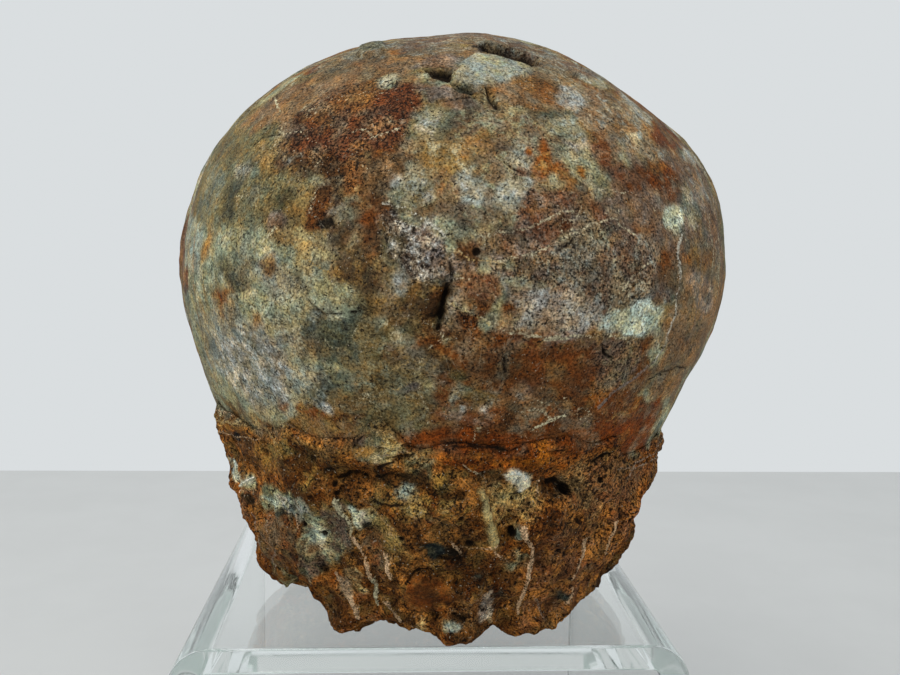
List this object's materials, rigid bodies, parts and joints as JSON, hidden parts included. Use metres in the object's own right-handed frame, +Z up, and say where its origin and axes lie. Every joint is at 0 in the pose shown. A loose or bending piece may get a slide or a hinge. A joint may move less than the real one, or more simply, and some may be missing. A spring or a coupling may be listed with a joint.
{
  "type": "fossil dinosaur egg",
  "caption": "Round fossil dinosaur egg in a rough pedestal of its rock matrix, resting on a clear bent acrylic riser.",
  "frame": {"origin": "on the floor, at the centre of the whole object's outline seen from above", "axes": "+Z up, -Y towards the front of the egg and the riser's open front, +X to the right; the riser's legs run along Y"},
  "size_m": [0.1479, 0.1531, 0.228],
  "materials": {
    "eggshell": "dull fossil shell, mottled grey, rust, ochre and mauve, with pale mineral veins",
    "matrix_rock": "rough red-brown sedimentary rock, granular and pitted, with pale veins",
    "clear_acrylic": "clear polished acrylic sheet"
  },
  "bodies": {
    "root": {"fossil_egg": "eggshell", "rock_matrix": "matrix_rock", "acrylic_stand": "clear_acrylic"}
  },
  "joints": []
}
